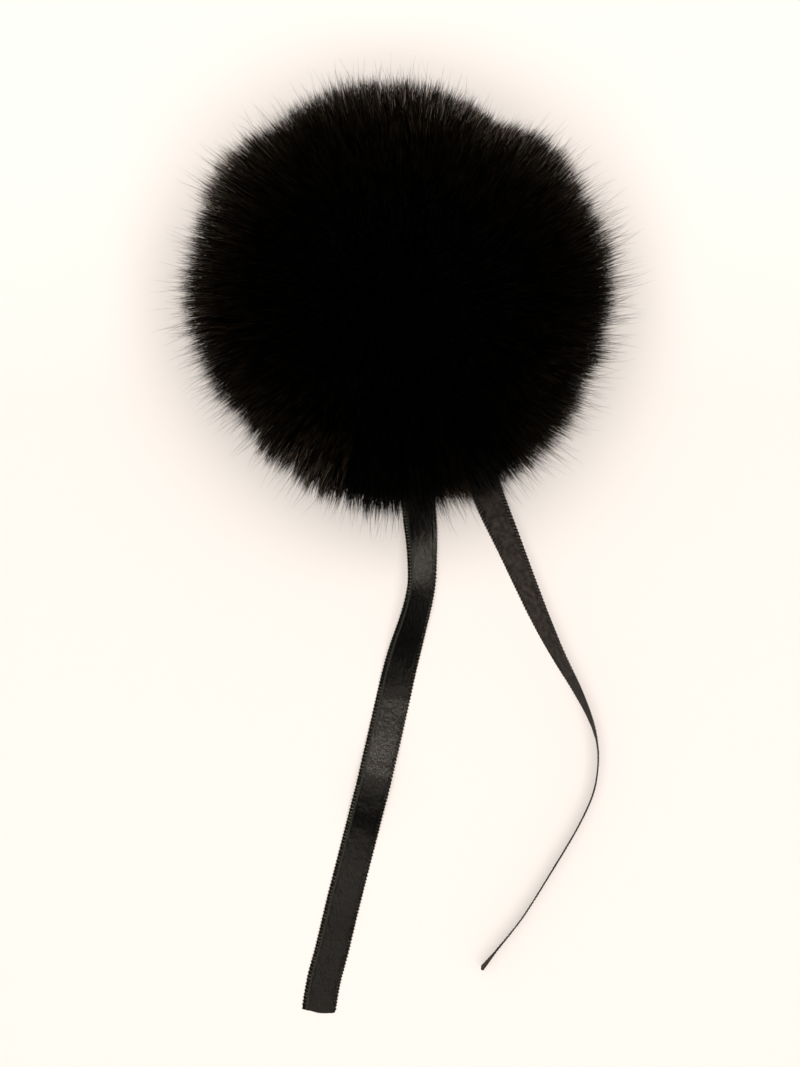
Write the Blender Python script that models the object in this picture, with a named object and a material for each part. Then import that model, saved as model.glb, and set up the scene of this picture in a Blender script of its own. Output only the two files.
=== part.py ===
"""A black long-hair fur pom pom with two satin ribbon tails, lying on a flat surface.

The part stands in its own frame: +Z is up, the surface is z = 0, the ball's middle foot
is on the origin, and the tails run out from under the ball towards -Y.  Every size and
place below is in millimetres, and MM turns it into metres where a mesh is made.
"""

import math
import random
from collections import namedtuple

import bmesh
import bpy
from mathutils import Vector

MM = 0.001

# The fur ball.
BACKING_RADIUS = 42.0      # the gathered pelt, which the locks grow out of
BALL_CENTRE = Vector((0.0, 0.0, 54.0))
HALVINGS = 2               # 2 gives 240 cells on the ball, each with room for one lock
LOCK_OVERSHOOT = 1.08      # how far past the dense fur an average lock ends
LOCK_UNEVENNESS = 0.045    # how much longer or shorter a lock may be
CELL_UNEVENNESS = 0.030    # how far a cell's corner may stray, in parts of the radius
COMB = 0.12                # how far the nap leans, in widths of a lock's own cell
RUFFLE = 0.10              # how far a single lock strays from the nap, in the same
DROOP = 0.5                # how much of the nap is the fur's own weight
FOOT_HALF = 0.20           # half the width of a foot that rests on the surface, in cells
FLOOR_MARGIN = 0.6         # the least height of a lock that is not a foot
STUB = 1.5                 # a lock with less room than this over a tail is left off
ROOT_INSET = 0.5           # first inset of a lock's root, before its own corners are set
UNDERSIDE = -0.3           # locks that look lower than this may meet a tail
STRAIGHT_DOWN = -0.999     # the middle foot, which stays upright on the origin
SEED = 19

# The two tails, cut from one kind of ribbon.
RIBBON_WIDTH = 10.0
RIBBON_THICKNESS = 1.0
STATION = 3.0              # distance between the sections along a tail
FINE = 12                  # steps between two rows of a tail's table, to measure its run
SEAT_GAP = 0.3             # from a tail's sewn end to the backing
TAIL_CLEARANCE = 2.0       # from a tail to the locks that part over it
PROBE_STEP = 0.5           # how finely a lock's room over a tail is felt out
CUT_SLANT = 0.75           # how much further a tail's -X edge reaches at its cut end

# How far the dense fur reaches, bearing by bearing, seen from straight above.
# A bearing is counted from +X towards +Y, and the rows are 15 degrees apart.
Reach = namedtuple("Reach", "bearing dense")
DENSE_FUR = (
    Reach(0, 59.4), Reach(15, 58.3), Reach(30, 58.3), Reach(45, 58.9),
    Reach(60, 54.4), Reach(75, 56.1), Reach(90, 58.9), Reach(105, 59.2),
    Reach(120, 58.3), Reach(135, 58.9), Reach(150, 61.1), Reach(165, 58.3),
    Reach(180, 58.3), Reach(195, 56.9), Reach(210, 55.3), Reach(225, 54.4),
    Reach(240, 57.5), Reach(255, 58.3), Reach(270, 59.4), Reach(285, 59.4),
    Reach(300, 58.3), Reach(315, 58.6), Reach(330, 57.2), Reach(345, 57.5),
)
MEAN_DENSE = sum(row.dense for row in DENSE_FUR) / len(DENSE_FUR)

# A lock's sections: how far along it lies, half its width and how much of its lean it has.
# Widths and leans are in parts of the lock's own cell of the ball, which widens outwards.
Section = namedtuple("Section", "along half lean")
LOCK_SECTIONS = (
    Section(0.00, 0.43, 0.00),
    Section(0.55, 0.42, 0.25),
    Section(0.84, 0.30, 0.65),
    Section(1.00, 0.10, 1.00),
)


def seat(x, y):
    """Height just under the backing's curved underside at a place in plan."""
    drop = math.sqrt(BACKING_RADIUS ** 2 - x * x - y * y)
    return BALL_CENTRE.z - drop - SEAT_GAP - 0.5 * RIBBON_THICKNESS


# The tails' routes.  lift is the gap from the surface to the ribbon's lowest edge, and
# roll turns the ribbon about its length, in degrees: above 0 the +X edge is the high one.
Row = namedtuple("Row", "x y lift roll")
LEFT_TAIL = (
    Row(0.0, -7.6, seat(0.0, -7.6), 0.0),
    Row(0.3, -11.0, 7.4, 0.0),
    Row(0.9, -16.5, 2.9, 0.0),
    Row(2.0, -25.0, 0.6, 0.0),
    Row(3.5, -37.0, 0.0, 0.0),
    Row(5.0, -50.0, 0.3, 0.0),
    Row(6.2, -61.0, 0.9, -8.0),
    Row(6.8, -71.0, 2.0, -27.0),
    Row(6.8, -80.0, 3.0, -34.0),
    Row(5.9, -86.0, 3.2, -34.0),
    Row(4.1, -93.0, 2.4, -30.0),
    Row(1.8, -101.0, 1.1, -18.0),
    Row(0.0, -108.0, 0.3, -9.0),
    Row(-1.8, -116.0, 0.0, 0.0),
    Row(-4.3, -127.0, 1.4, 0.0),
    Row(-6.3, -135.5, 3.1, 0.0),
    Row(-7.8, -142.0, 3.9, 0.0),
    Row(-9.6, -149.0, 2.8, 0.0),
    Row(-11.6, -157.0, 0.8, 0.0),
    Row(-13.9, -166.0, 0.0, 0.0),
    Row(-17.2, -179.0, 0.4, 0.0),
    Row(-20.3, -192.0, 0.0, 0.0),
    Row(-22.8, -201.4, 0.0, 0.0),
    Row(-24.4, -210.8, 0.3, 0.0),
)
RIGHT_TAIL = (
    Row(10.9, -8.6, seat(10.9, -8.6), 0.0),
    Row(12.1, -12.0, 7.7, 0.0),
    Row(13.9, -17.5, 3.0, 0.0),
    Row(16.7, -25.5, 0.6, 2.0),
    Row(20.6, -36.5, 0.0, 8.0),
    Row(24.6, -48.0, 0.0, 17.0),
    Row(28.1, -57.6, 0.0, 28.0),
    Row(33.0, -69.0, 0.0, 42.0),
    Row(37.7, -80.2, 0.0, 51.0),
    Row(43.0, -92.5, 0.0, 60.0),
    Row(48.0, -102.7, 0.0, 69.0),
    Row(52.9, -111.8, 0.0, 76.0),
    Row(57.3, -121.0, 0.0, 85.0),
    Row(59.6, -128.5, 0.0, 92.0),
    Row(60.0, -136.0, 0.0, 95.0),
    Row(58.5, -144.5, 0.0, 96.0),
    Row(54.0, -154.5, 0.0, 97.0),
    Row(46.9, -166.5, 0.0, 97.0),
    Row(37.7, -181.2, 0.0, 98.0),
    Row(29.7, -191.4, 0.0, 97.0),
    Row(27.4, -194.3, 0.0, 94.5),
    Row(25.1, -197.0, 0.0, 91.0),
)

Station = namedtuple("Station", "centre along across normal")


def clear_scene():
    """Take away whatever the scene held before."""
    for thing in list(bpy.data.objects):
        bpy.data.objects.remove(thing, do_unlink=True)


def plain_material(name, colour, roughness, sheen):
    """A Principled material with a colour, a roughness and a soft sheen."""
    material = bpy.data.materials.new(name)
    material.use_nodes = True
    shader = material.node_tree.nodes["Principled BSDF"]
    shader.inputs["Base Color"].default_value = (*colour, 1.0)
    shader.inputs["Roughness"].default_value = roughness
    shader.inputs["Metallic"].default_value = 0.0
    shader.inputs["Sheen Weight"].default_value = sheen
    material.diffuse_color = (*colour, 1.0)
    return material


def put_in_scene(name, mesh_maker, material):
    """Make the named object from a closed bmesh in millimetres."""
    mesh_maker.normal_update()
    bmesh.ops.scale(mesh_maker, vec=(MM, MM, MM), verts=mesh_maker.verts)
    mesh = bpy.data.meshes.new(name)
    mesh_maker.to_mesh(mesh)
    mesh_maker.free()
    mesh.materials.append(material)
    piece = bpy.data.objects.new(name, mesh)
    bpy.context.scene.collection.objects.link(piece)
    return piece


# ---------------------------------------------------------------- the ribbon tails

def between(a, b, c, d, t):
    """Catmull-Rom value at t between b and c."""
    return 0.5 * (2.0 * b + (c - a) * t + (2.0 * a - 5.0 * b + 4.0 * c - d) * t * t
                  + (3.0 * b - a - 3.0 * c + d) * t ** 3)


def row_at(rows, place):
    """The row at a fractional place in a tail's table, on a smooth curve through it."""
    first = min(int(place), len(rows) - 2)
    picks = [rows[max(0, min(len(rows) - 1, first + step))] for step in (-1, 0, 1, 2)]
    values = [between(*column, place - first) for column in zip(*picks)]
    return Row(*values)


def ribbon_centre(row):
    """The middle of the ribbon, with its lowest edge at the row's lift."""
    turn = math.radians(row.roll)
    rise = 0.5 * (RIBBON_WIDTH * abs(math.sin(turn)) + RIBBON_THICKNESS * abs(math.cos(turn)))
    return Vector((row.x, row.y, max(row.lift, 0.0) + rise))


def tail_stations(rows):
    """Evenly spread sections along a tail, each with its own crossways and normal."""
    places = [step / FINE for step in range((len(rows) - 1) * FINE + 1)]
    centres = [ribbon_centre(row_at(rows, place)) for place in places]
    run = [0.0]
    for a, b in zip(centres, centres[1:]):
        run.append(run[-1] + (b - a).length)
    count = round(run[-1] / STATION)
    stations = []
    index = 0
    for number in range(count + 1):
        goal = run[-1] * number / count
        while index < len(run) - 2 and run[index + 1] < goal:
            index += 1
        part = (goal - run[index]) / (run[index + 1] - run[index])
        place = places[index] + part / FINE
        row = row_at(rows, place)
        step = 0.5 / FINE
        ahead = ribbon_centre(row_at(rows, min(place + step, len(rows) - 1)))
        behind = ribbon_centre(row_at(rows, max(place - step, 0.0)))
        along = (ahead - behind).normalized()
        level = Vector((0.0, 0.0, 1.0)).cross(along).normalized()
        upright = along.cross(level)
        turn = math.radians(row.roll)
        across = level * math.cos(turn) + upright * math.sin(turn)
        normal = upright * math.cos(turn) - level * math.sin(turn)
        stations.append(Station(ribbon_centre(row), along, across, normal))
    return stations


def ribbon_corners(station, slant):
    """The four corners of the ribbon's section, counter-clockwise seen from its root."""
    side = station.across * (0.5 * RIBBON_WIDTH)
    rise = station.normal * (0.5 * RIBBON_THICKNESS)
    skew = station.along * (0.5 * slant)
    middle = station.centre
    return (middle - side - rise + skew, middle + side - rise - skew,
            middle + side + rise - skew, middle - side + rise + skew)


def make_tail(name, rows, material):
    """One ribbon tail, from its sewn end under the ball to its cut end."""
    stations = tail_stations(rows)
    maker = bmesh.new()
    rings = []
    for number, station in enumerate(stations):
        slant = CUT_SLANT if number == len(stations) - 1 else 0.0
        rings.append([maker.verts.new(corner) for corner in ribbon_corners(station, slant)])
    for near, far in zip(rings, rings[1:]):
        for a in range(4):
            b = (a + 1) % 4
            maker.faces.new((near[a], far[a], far[b], near[b]))
    maker.faces.new(rings[0])
    maker.faces.new(reversed(rings[-1]))
    bmesh.ops.recalc_face_normals(maker, faces=maker.faces)
    bmesh.ops.triangulate(maker, faces=maker.faces)
    return put_in_scene(name, maker, material)


# ---------------------------------------------------------------- the fur ball

def round_cells():
    """The ball as four-sided cells: an icosahedron, halved and blown up round.

    It is turned so that the first cell's middle looks straight down.
    """
    cage = bmesh.new()
    bmesh.ops.create_icosphere(cage, subdivisions=1, radius=1.0)
    mesh = bpy.data.meshes.new("cells")
    cage.to_mesh(mesh)
    cage.free()
    guide = bpy.data.objects.new("cells", mesh)
    bpy.context.scene.collection.objects.link(guide)
    halving = guide.modifiers.new("halving", "SUBSURF")
    halving.levels = HALVINGS
    halving.render_levels = HALVINGS
    halved = bpy.data.meshes.new_from_object(
        guide.evaluated_get(bpy.context.evaluated_depsgraph_get()))
    directions = [vertex.co.normalized() for vertex in halved.vertices]
    cells = [tuple(face.vertices) for face in halved.polygons]
    for leftover in (halved, mesh):
        bpy.data.meshes.remove(leftover)
    middle = sum((directions[index] for index in cells[0]), Vector())
    turn = middle.rotation_difference(Vector((0.0, 0.0, -1.0)))
    return [turn @ direction for direction in directions], cells


def dense_reach(direction):
    """How far the dense fur reaches that way: the photographed outline at the rim."""
    bearing = math.degrees(math.atan2(direction.y, direction.x)) % 360.0
    step = 360.0 / len(DENSE_FUR)
    first = int(bearing / step)
    part = bearing / step - first
    near = DENSE_FUR[first % len(DENSE_FUR)].dense
    far = DENSE_FUR[(first + 1) % len(DENSE_FUR)].dense
    at_rim = near + (far - near) * part
    rim = 1.0 - direction.z ** 2
    return MEAN_DENSE + (at_rim - MEAN_DENSE) * rim


def in_cell(corners, u, v):
    """A direction inside a cell, from 0 to 1 across it each way."""
    a, b, c, d = corners
    mixed = a * (1.0 - u) * (1.0 - v) + b * u * (1.0 - v) + c * u * v + d * (1.0 - u) * v
    return mixed.normalized()


def section_directions(corners, section, lean, half):
    """The four corner directions of a lock's section."""
    u = 0.5 + section.lean * lean[0]
    v = 0.5 + section.lean * lean[1]
    return [in_cell(corners, u + du * half, v + dv * half)
            for du, dv in ((-1, -1), (1, -1), (1, 1), (-1, 1))]


def room_over_tails(direction, reach, stations):
    """How far a lock may grow that way before it comes near a tail under the ball."""
    half = 0.5 * RIBBON_WIDTH + TAIL_CLEARANCE
    radius = BACKING_RADIUS
    while radius < reach:
        point = BALL_CENTRE + direction * radius
        for station in stations:
            offset = point - station.centre
            if abs(offset.dot(station.across)) < half and abs(offset.dot(station.along)) < STATION:
                if offset.dot(station.normal) < TAIL_CLEARANCE + 0.5 * RIBBON_THICKNESS:
                    return radius - BACKING_RADIUS
        radius += PROBE_STEP
    return reach - BACKING_RADIUS


def lock_room(corners, reach, stations):
    """The room for a whole lock: the least of what its middle, corners and sides have."""
    spots = [(u, v) for u in (0.1, 0.5, 0.9) for v in (0.1, 0.5, 0.9)]
    return min(room_over_tails(in_cell(corners, u, v), reach, stations) for u, v in spots)


def nap_lean(corners, middle, luck):
    """How far a lock's tip leans across its cell, each way: the nap, its weight and luck."""
    swirl = Vector((math.sin(2.3 * middle.y + 1.7 * middle.z),
                    math.cos(2.1 * middle.z - 1.3 * middle.x),
                    math.sin(1.9 * middle.x + 0.7 * middle.y)))
    nap = swirl * (1.0 - DROOP) - Vector((0.0, 0.0, DROOP))
    a, b, c, d = corners
    lean = []
    for way in (b + c - a - d, c + d - a - b):
        lean.append(COMB * nap.dot(way.normalized()) + RUFFLE * luck.uniform(-1.0, 1.0))
    return lean


def lock_points(corners, luck, stations):
    """A lock's sections from root to tip, or nothing where a tail leaves it no room."""
    middle = in_cell(corners, 0.5, 0.5)
    lean = nap_lean(corners, middle, luck)
    stretch = LOCK_OVERSHOOT * (1.0 + LOCK_UNEVENNESS * luck.uniform(-1.0, 1.0))
    reach = dense_reach(middle) * stretch
    foot = BALL_CENTRE.z + reach * middle.z < 0.0
    if foot:
        reach = -BALL_CENTRE.z / middle.z
    if middle.z < STRAIGHT_DOWN:
        lean = (0.0, 0.0)
    length = reach - BACKING_RADIUS
    if middle.z < UNDERSIDE and middle.y < 0.0:
        room = lock_room(corners, reach, stations)
        if room < length:
            length = room
            foot = False
    if length < STUB:
        return []
    rings = []
    for section in LOCK_SECTIONS:
        last = section is LOCK_SECTIONS[-1]
        half = FOOT_HALF if foot and last else section.half
        ring = []
        for direction in section_directions(corners, section, lean, half):
            radius = BACKING_RADIUS + length * section.along
            if foot and last:
                radius = -BALL_CENTRE.z / direction.z
            elif direction.z < 0.0:
                radius = min(radius, (FLOOR_MARGIN - BALL_CENTRE.z) / direction.z)
            ring.append(BALL_CENTRE + direction * radius)
        rings.append(ring)
    return rings


def grow_lock(maker, face, rings):
    """Inset the lock's root into its cell, then draw it out section by section."""
    bmesh.ops.inset_individual(maker, faces=[face], thickness=ROOT_INSET)
    for number, ring in enumerate(rings):
        if number:
            face = bmesh.ops.extrude_discrete_faces(maker, faces=[face])["faces"][0]
        for vertex, point in zip(face.verts, ring):
            vertex.co = point


def make_fur_ball(name, stations, material):
    """The backing ball with its locks, which stand apart but for their roots."""
    luck = random.Random(SEED)
    directions, cells = round_cells()
    for index, direction in enumerate(directions):
        if index not in cells[0]:
            stray = Vector([CELL_UNEVENNESS * luck.uniform(-1.0, 1.0) for axis in range(3)])
            directions[index] = (direction + stray).normalized()
    maker = bmesh.new()
    vertices = [maker.verts.new(BALL_CENTRE + direction * BACKING_RADIUS)
                for direction in directions]
    for cell in cells:
        face = maker.faces.new([vertices[index] for index in cell])
        corners = [directions[index] for index in cell]
        rings = lock_points(corners, luck, stations)
        if rings:
            grow_lock(maker, face, rings)
    bmesh.ops.recalc_face_normals(maker, faces=maker.faces)
    bmesh.ops.triangulate(maker, faces=maker.faces, quad_method="SHORT_EDGE")
    return put_in_scene(name, maker, material)


def main():
    """Make the ball and its two tails."""
    clear_scene()
    fur = plain_material("black_fur", (0.012, 0.010, 0.010), 0.85, 0.4)
    satin = plain_material("black_satin", (0.030, 0.028, 0.026), 0.38, 0.2)
    stations = tail_stations(LEFT_TAIL) + tail_stations(RIGHT_TAIL)
    make_fur_ball("fur_ball", stations, fur)
    make_tail("ribbon_left", LEFT_TAIL, satin)
    make_tail("ribbon_right", RIGHT_TAIL, satin)


main()
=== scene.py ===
"""The looks of a black long-hair fur pom pom that lies with its two satin ribbon tails.

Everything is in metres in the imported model's frame: +Z is up, the surface is z = 0 and the
tails run towards -Y.  Where a comment says millimetres, MM turns them into metres.
"""

import math
from collections import namedtuple

import bpy
import numpy as np
from bpy.props import FloatProperty, FloatVectorProperty, IntProperty, PointerProperty
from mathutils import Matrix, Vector
from mathutils.kdtree import KDTree


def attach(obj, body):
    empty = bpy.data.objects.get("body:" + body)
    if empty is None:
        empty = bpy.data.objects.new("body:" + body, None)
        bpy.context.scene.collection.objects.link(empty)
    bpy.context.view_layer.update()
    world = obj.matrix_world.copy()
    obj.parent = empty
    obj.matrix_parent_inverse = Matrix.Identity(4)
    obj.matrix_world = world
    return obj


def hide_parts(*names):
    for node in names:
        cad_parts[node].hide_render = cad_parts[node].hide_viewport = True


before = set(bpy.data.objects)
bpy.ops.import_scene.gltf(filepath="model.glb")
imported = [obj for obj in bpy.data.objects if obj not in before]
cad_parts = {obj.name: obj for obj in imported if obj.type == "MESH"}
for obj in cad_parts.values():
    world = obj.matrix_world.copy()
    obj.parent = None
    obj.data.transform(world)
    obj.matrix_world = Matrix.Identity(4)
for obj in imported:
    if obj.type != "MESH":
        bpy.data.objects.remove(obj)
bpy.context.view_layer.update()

bl_info = {
    "name": "Fur pom pom",
    "version": (1, 0, 0),
    "blender": (4, 5, 0),
    "location": "3D View > Sidebar > Pom pom",
    "description": "Makes a black fur pom pom with two satin ribbon tails",
    "category": "Add Mesh",
}

MM = 0.001
BODY = "root"
SEED = 7

# The ball.
BALL_CENTRE = np.array((0.0, 0.0, 0.054))

# How far the dense fur reaches in millimetres, for each bearing in degrees, counted from
# +X towards +Y and seen from straight above.
DENSE_FUR = (
    (0, 59.6), (15, 60.0), (30, 58.0), (40, 59.8), (47, 59.1), (60, 54.5), (70, 56.7),
    (76, 57.5), (90, 58.9), (97, 58.9), (105, 59.9), (120, 58.7), (135, 59.7), (148, 62.0),
    (155, 59.3), (162, 58.0), (170, 59.0), (178, 60.0), (185, 59.7), (195, 58.2), (210, 56.8),
    (220, 55.4), (230, 57.5), (236, 57.4), (242, 58.9), (255, 59.2), (270, 60.5),
    (285, 60.1), (300, 59.4), (315, 59.9), (328, 58.6), (336, 57.2), (345, 58.8), (353, 58.8),
)

# How far the strands at the rim lean towards larger bearings, for each bearing, all in
# degrees.
LEAN = (
    (0, 18), (15, 20), (27, 18), (39, 10), (52, 3), (68, -9), (82, 3), (100, 0), (116, 4),
    (163, 0), (180, 0), (200, 10), (215, 10), (250, 3), (270, 0), (283, 18), (300, 12),
    (317, 16), (330, 16), (353, 20),
)
LEAN_POWER = 1.6  # how late along a hair its lean comes

# How long the guard hairs are and how strong the hairs' painted sheen and glow are, in parts
# of the usual, for each bearing in degrees: strongest on the rim where the light falls.
GUARD_LENGTH = (
    (0, 1.03), (15, 1.04), (40, 1.01), (60, 0.97), (90, 0.99), (135, 0.99), (165, 1.01),
    (195, 1.02), (225, 1.01), (250, 0.98), (270, 1.01), (300, 1.02), (330, 1.02),
)
SHEEN_BY_BEARING = (
    (0, 0.85), (30, 1.11), (60, 1.18), (90, 1.26), (120, 1.02), (150, 1.11), (180, 1.02),
    (215, 0.94), (242, 1.09), (258, 0.95), (275, 0.72), (300, 0.72), (330, 0.98), (345, 0.93),
)
RIM_POWER = 0.65  # how fast the painted sheen and glow fade from the rim to the crown
OVER_TAILS = ((254, 283), (290, 304))  # where black fur lies over a tail or close beside it, and has no painted sheen or glow

# How strongly the tufts close at their tips, for each bearing in degrees.
TUFTING = (
    (0, 0.26), (45, 0.16), (90, 0.22), (135, 0.28), (165, 0.40), (195, 0.46), (212, 0.48),
    (238, 0.66), (265, 0.42), (300, 0.36), (330, 0.46), (350, 0.30),
)
UNEVEN_TUFTING = 0.12  # how far single tufts differ from that
MOST_TUFTING = 0.85  # the most that any closes
RAGGED = 0.10  # how raggedly the closed tufts end, in parts of the dense fur's reach
LONGER = 0.4  # how far the longest of them pass the usual reach, in parts of that
UNEVEN_REACH = 0.012  # how unevenly the tufts reach, in parts of the dense fur's reach
TUFT_SHIFT = 0.28  # how far a tuft stands off its even place, and how far from its
TUFT_RADIUS = 0.72  # middle its hairs root, in parts of the tufts' spacing
ROOT_SHIFT = 0.02  # how far a guard hair's root is from its even place, in radians
LOCKS = ((53, 0.30), (87, 0.45), (131, 0.45))  # locks round the ball, and how they draw in
LOCKS_AT = 0.6  # the tufting at which they draw in that much

# The share of the hairs that end before a reach, counted in parts of the dense fur's.
COAT_REACH = ((0.0, 0.88), (0.12, 0.993), (0.50, 1.023), (0.80, 1.034), (0.93, 1.043),
              (1.0, 1.058))
GUARD_REACH = ((0.0, 1.02), (0.6, 1.075), (0.9, 1.118), (1.0, 1.18))

# The two kinds of hair.  stops gives the places from root to tip and how thick the hair is
# there, in parts of its width.  stray is how far it strays, in parts of the ruffle, and
# locks how far it follows the locks.  curl and sag are in millimetres, and widths are the
# least and the most of its kind's width.
Stop = namedtuple("Stop", "along thick")
Kind = namedtuple("Kind", "stops stray locks curl sag widths")
COAT = Kind(stops=(Stop(0.0, 1.0), Stop(0.62, 0.85), Stop(1.0, 0.0)),
            stray=1.25, locks=1.0, curl=0.4, sag=0.0, widths=(0.7, 1.15))
GUARD = Kind(stops=(Stop(0.0, 1.0), Stop(0.55, 0.85), Stop(0.84, 0.50), Stop(1.0, 0.0)),
             stray=1.5, locks=0.4, curl=0.9, sag=3.0, widths=(0.7, 1.2))
ROUND = 3  # the sides of a hair
ROOT_DEPTH = 1.5  # how deep in the pelt a hair starts, in millimetres
CURL_TURN = 3.4  # how far round its curl a hair goes, in radians

PARTING = 0.010  # how far the tips draw together between partings, in radians
DRIFT = 0.026  # how far the nap drifts to either side over the ball, in radians

# How the hairs keep off the surface and the tails, in millimetres.
LEAST_HEIGHT = (0.15, 0.9)  # how high a hair lies that would dip into the surface
FOOT_SPREAD = 0.8  # how far out it is pushed for each millimetre that it is lifted
FOOT_SHIFT = 2.0  # how far the way out strays
TAIL_SIDE = 0.4  # the room beside a tail, over it and along it
TAIL_GAP = 0.35
TAIL_ALONG = 2.0
UNEVEN_GAP = 0.5  # how much further over it some hairs lie
TAIL_FAR = 30.0  # a tail that is further off has no say
TAIL_HIGH = 34.0  # the hairs that may meet a tail end below this height
TAIL_FRONT = -1.0  # and before this y
CLEAR = 0.1  # and one of them that still dips lower than this is left out

# The hair's colours along it and over the ball, with painted sheen and a painted glow of
# light coming through the thin ends.
HAIR_SHEEN = (1.0, 0.84, 0.68)
HAIR_DYE_AND_SHEEN = (-0.5, 0.5)  # how far single hairs shift from deep to pale, by a luck that carries painted sheen too
HAIR_DULLNESS = (-0.08, 0.12)  # how far their roughness goes down and up
SHEEN_BAND = (0.50, 0.85)  # where along a hair its pale band of painted sheen starts, and where it is full
SHEEN_RARITY = 14.0
GLOW_END = (0.70, 1.0)  # where along a hair its thin end starts, painted browner on some hairs as a glow of light coming through it
GLOW_RARITY = 4.0
BACKLIT_FRINGE = (0.0592, 0.0668)  # between which distances the ends are painted brown, as a glow of light coming through them near the rim, in metres
BACKLIT_RISE = 0.3  # how much the height counts in that
BACKLIT_SHARE = 0.6
BACKLIT_LUCKS = (0.0, 0.04)  # between which lucks that painted glow comes in: hairs over a tail have none

QUARTERS = ("back_right", "back_left", "front_left", "front_right")

# The pelt: how large its soft lumps are, how deep the hollows between them, and how high
# its short wool stands, in metres.
LUMP_SIZE = 0.016
LUMP_DEPTH = 0.0035
WOOL_HEIGHT = 0.0006

# The gathers at the pelt's foot: how far down the ball they start, how many there are, and
# how deep the whole foot and each gather is drawn in, in parts of the radius.
GATHERS_FROM = 0.93
GATHERS = 14.0
FOOT_DEPTH = 0.015
GATHER_DEPTH = 0.02

# The tails' routes in millimetres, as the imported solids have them.  lift is the gap from
# the surface to the ribbon's lowest edge, and roll turns it about its length, in degrees.
Row = namedtuple("Row", "x y lift roll")
BACKING_MM = 42.0
SEAT_MM = 0.8  # how far a sewn end's lower face lies under the backing


def seat(x, y):
    """Height of a tail's sewn end under the backing, at a place in plan, in millimetres."""
    drop = math.sqrt(BACKING_MM ** 2 - x * x - y * y)
    return BALL_CENTRE[2] / MM - drop - SEAT_MM


LEFT_TAIL = [Row(*values) for values in (
    (0, -7.6, seat(0, -7.6), 0), (0.3, -11, 7.4, 0), (0.9, -16.5, 2.9, 0), (2, -25, 0.6, 0),
    (3.5, -37, 0, 0), (5, -50, 0.3, 0), (6.2, -61, 0.9, -8), (6.8, -71, 2, -27),
    (6.8, -80, 3, -34), (5.9, -86, 3.2, -34), (4.1, -93, 2.4, -30), (1.8, -101, 1.1, -18),
    (0, -108, 0.3, -9), (-1.8, -116, 0, 0), (-4.3, -127, 1.4, 0), (-6.3, -135.5, 3.1, 0),
    (-7.8, -142, 3.9, 0), (-9.6, -149, 2.8, 0), (-11.6, -157, 0.8, 0), (-13.9, -166, 0, 0),
    (-17.2, -179, 0.4, 0), (-20.3, -192, 0, 0), (-22.8, -201.4, 0, 0), (-24.4, -210.8, 0.3, 0))]
RIGHT_TAIL = [Row(*values) for values in (
    (10.9, -8.6, seat(10.9, -8.6), 0), (12.1, -12, 7.7, 0), (13.9, -17.5, 3, 0),
    (16.7, -25.5, 0.6, 2), (20.6, -36.5, 0, 8), (24.6, -48, 0, 17), (28.1, -57.6, 0, 28),
    (33, -69, 0, 42), (37.7, -80.2, 0, 51), (43, -92.5, 0, 60), (48, -102.7, 0, 69),
    (52.9, -111.8, 0, 76), (57.3, -121, 0, 85), (59.6, -128.5, 0, 92), (60, -136, 0, 95),
    (58.5, -144.5, 0, 96), (54, -154.5, 0, 97), (46.9, -166.5, 0, 97), (37.7, -181.2, 0, 98),
    (29.7, -191.4, 0, 97), (27.4, -194.3, 0, 94.5), (25.1, -197, 0, 91))]
FINE = 12  # steps between two rows of a tail's table, to measure its run
Station = namedtuple("Station", "run centre along across normal")

# Across half a ribbon: the place in parts of half its width, the cloth's thickness there
# in parts of the woven edge's, and what starts there: 0 the face, 1 the matt band beside
# it, and 2 the edge under the stitches.  A tail that lies glossy side up has both on its
# left half alone.
Thread = namedtuple("Thread", "place thick part")
HALF_RIBBON = [Thread(*values) for values in (
    (0.0, 0.64, 0), (0.25, 0.64, 0), (0.5, 0.64, 0), (0.62, 0.63, 0), (0.67, 0.50, 0),
    (0.69, 0.42, 1), (0.73, 0.80, 1), (0.79, 0.86, 1), (0.82, 0.62, 2), (0.94, 0.62, 2),
    (1.0, 0.40, 2))]
SMOOTH_BELOW = 50.0  # the cloth is shaded smooth over bends of fewer degrees than this

# A ribbon's small ripples, in millimetres: along it, at its sides, and its crown.
RIPPLE = 0.09
SIDE_RIPPLE = 0.06
CROWN = 0.10

# A tail's cut end, in millimetres: its slant, how far its middle bulges out, how far the
# whole cut is set back, and how uneven it is.
CUT_SLANT = 0.30
CUT_BULGE = 0.65
CUT_BACK = 0.20
CUT_WAVES = 0.06

# The ribbon's cloths.  deep and pale are shares of a colour, drift says how quickly it
# changes, stretch how fine the threads are across and along, and bump and dents how high
# the threads and the crushed places stand.
Cloth = namedtuple("Cloth", "name colour deep pale drift stretch bump dents roughness shine")
CLOTHS = [Cloth(*values) for values in (
    ("black_satin_face", "satin_colour", 1.0, 1.6, 0.5, (9.0, 0.25, 1.0), 0.00003, 0.00026,
     0.35, 0.42),
    ("dull_ribbon_back", "back_colour", 0.42, 1.65, 0.5, (8.0, 0.9, 1.0), 0.00008, 0.0002,
     0.78, 0.06),
    ("woven_ribbon_band", "edge_colour", 0.40, 1.40, 1.6, (5.0, 5.0, 1.0), 0.0001, 0.0001,
     0.66, 0.3),
    ("dark_ribbon_edge", "edge_colour", 0.10, 0.25, 2.2, (5.0, 5.0, 1.0), 0.0001, 0.0001,
     0.8, 0.1),
    ("ribbon_back_edge", "back_colour", 1.2, 2.4, 1.2, (5.0, 5.0, 1.0), 0.00008, 0.0001,
     0.78, 0.15))]
CRUSH = (0.55, 0.42, 1.0)  # how fine the crushed places are
UNEVEN_GLOSS = 0.06  # how far the roughness goes up and down

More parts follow.
